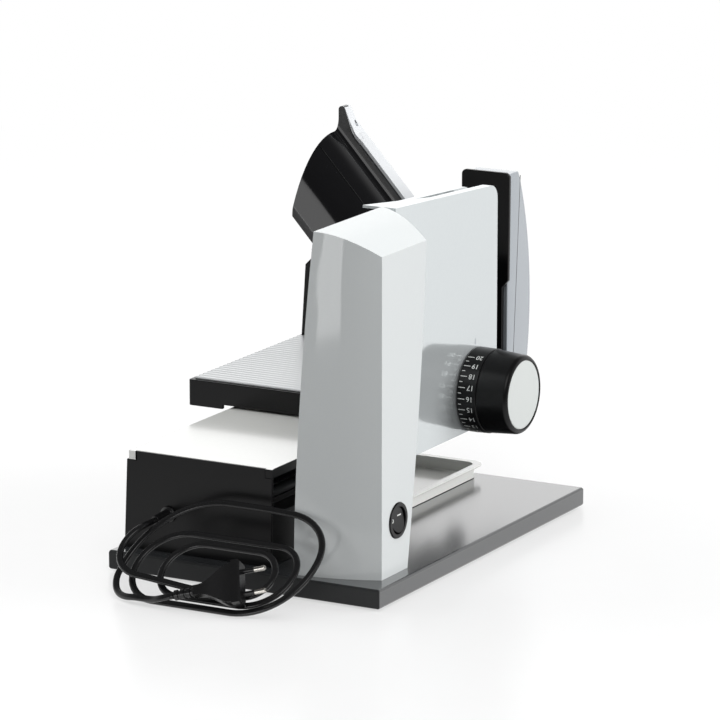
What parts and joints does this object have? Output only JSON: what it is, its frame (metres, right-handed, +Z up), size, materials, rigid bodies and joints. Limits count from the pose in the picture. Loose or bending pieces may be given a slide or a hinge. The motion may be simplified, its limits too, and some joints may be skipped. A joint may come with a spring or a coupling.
{
  "type": "food slicer",
  "caption": "Electric food slicer with a round blade beside a tall motor tower, a sliding carriage with hand shield and handle, a thickness dial, a slice tray and a coiled mains cord.",
  "frame": {"origin": "on the ground under the middle of the machine's box, cord left out", "axes": "+Z up; +Y along the carriage's travel, towards the user; +X across it, towards the thickness dial"},
  "size_m": [0.267, 0.5005, 0.3145],
  "materials": {
    "base_black": "satin",
    "foot_rubber": "matt",
    "tower_paint": "gloss",
    "panel_paint": "gloss",
    "cast_aluminium": "satin",
    "bronze": "satin",
    "motor_steel": "satin",
    "steel": "brushed",
    "black_plastic": "satin",
    "white_plastic": "satin",
    "gear_nylon": "matt",
    "deck_aluminium": "satin",
    "handle_silver": "satin",
    "zinc": "satin",
    "cord_rubber": "satin"
  },
  "bodies": {
    "machine": {"base_board": "base_black", "rubber_feet": "foot_rubber", "tower_shell": "tower_paint", "blade_housing": "cast_aluminium", "bearing_bush": "bronze", "motor": "motor_steel", "gauge_housing": "panel_paint", "guide_sleeve": "zinc", "switch_bezel": "black_plastic", "bridge_body": "black_plastic", "bridge_leg": "black_plastic", "bridge_rear_panel": "black_plastic", "bridge_top": "white_plastic", "guide_rod": "steel", "rod_hanger": "zinc", "cord_gland": "black_plastic", "cord": "cord_rubber", "plug_body": "black_plastic", "plug_pins": "steel"},
    "carriage": {"carriage_frame": "black_plastic", "carriage_deck": "deck_aluminium", "carriage_glides": "white_plastic", "guide_shoe": "zinc", "carriage_wall": "black_plastic", "thumb_guard": "black_plastic", "handle_shell": "handle_silver"},
    "holder": {"holder_hood": "black_plastic", "holder_trim": "handle_silver", "holder_saddle": "black_plastic", "press_plate": "black_plastic"},
    "knob": {"thickness_knob": "black_plastic", "dial_ring": "black_plastic", "knob_cap": "white_plastic"},
    "gauge": {"gauge_plate": "cast_aluminium", "gauge_spindle": "steel"},
    "blade_unit": {"drive_gear": "gear_nylon", "blade_shaft": "steel", "blade": "steel", "blade_cover": "cast_aluminium"},
    "pinion": {"motor_pinion": "steel"},
    "rocker": {"switch_rocker": "black_plastic"},
    "slice_tray": {"tray": "white_plastic"}
  },
  "joints": [
    {"name": "carriage_slide", "type": "slide", "parent": "machine", "child": "carriage", "axis": [0, 1, 0], "range_m": [-0.185, 0]},
    {"name": "holder_slide", "type": "slide", "parent": "carriage", "child": "holder", "axis": [1, 0, 0], "range_m": [0, 0.0365]},
    {"name": "dial_turn", "type": "hinge", "parent": "machine", "child": "knob", "pos_m": [0.1035, 0.0425, 0.1145], "axis": [1, 0, 0], "range_deg": [0, 308]},
    {"name": "gauge_slide", "type": "slide", "parent": "machine", "child": "gauge", "axis": [1, 0, 0], "range_m": [0, 0.02]},
    {"name": "blade_spin", "type": "hinge", "parent": "machine", "child": "blade_unit", "pos_m": [0.0535, -0.093, 0.19], "axis": [1, 0, 0], "continuous": true},
    {"name": "pinion_spin", "type": "hinge", "parent": "machine", "child": "pinion", "pos_m": [0.0735, -0.151, 0.19], "axis": [1, 0, 0], "continuous": true},
    {"name": "switch_rock", "type": "hinge", "parent": "machine", "child": "rocker", "pos_m": [0.12, -0.1593, 0.0585], "axis": [0, 1, 0], "range_deg": [0, 14]},
    {"name": "tray_slide", "type": "slide", "parent": "machine", "child": "slice_tray", "axis": [1, 0, 0], "range_m": [0, 0.08]}
  ],
  "couplings": [
    {"joint": "gauge_slide", "follows": "dial_turn", "m_per_rad": 0.00372},
    {"joint": "pinion_spin", "follows": "blade_spin", "ratio": -3.1429}
  ]
}
